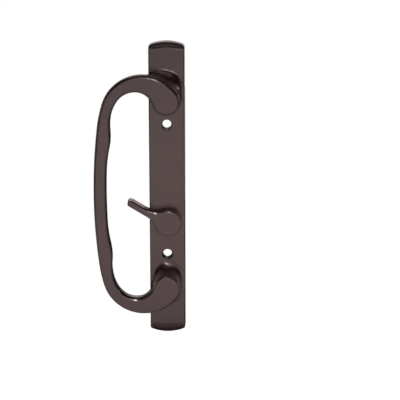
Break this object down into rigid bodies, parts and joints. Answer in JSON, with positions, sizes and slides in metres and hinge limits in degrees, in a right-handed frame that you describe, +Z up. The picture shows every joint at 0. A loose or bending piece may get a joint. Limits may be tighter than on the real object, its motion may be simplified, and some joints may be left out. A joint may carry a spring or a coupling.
{
  "type": "sliding patio door handle",
  "caption": "Inside handle of a sliding patio door: slim plate with a D-shaped pull and a thumb lever that turns the lock's tailpiece.",
  "frame": {"origin": "on the door face, on the middle rib, in the middle of the plate", "axes": "+X to the right as seen from the room, +Y into the door, +Z up along the plate"},
  "size_m": [0.0673, 0.0605, 0.2248],
  "materials": {
    "bronze_paint": "semi-gloss dark bronze paint on a zinc die casting",
    "acetal": "natural moulded acetal",
    "spring_steel": "bright spring steel",
    "zinc_plate": "clear zinc plate on steel",
    "black_oxide": "black oxide on spring steel"
  },
  "bodies": {
    "handle": {"handle_casting": "bronze_paint", "lever_bush": "acetal", "wave_washer": "spring_steel"},
    "lever": {"thumb_lever": "bronze_paint", "stop_washer": "zinc_plate", "retaining_ring": "black_oxide", "tailpiece": "zinc_plate", "tailpiece_pin": "spring_steel"}
  },
  "joints": [
    {"name": "lever_turn", "type": "hinge", "parent": "handle", "child": "lever", "pos_m": [0.001, 0, -0.0225], "axis": [0, -1, 0], "range_deg": [0, 60]}
  ]
}
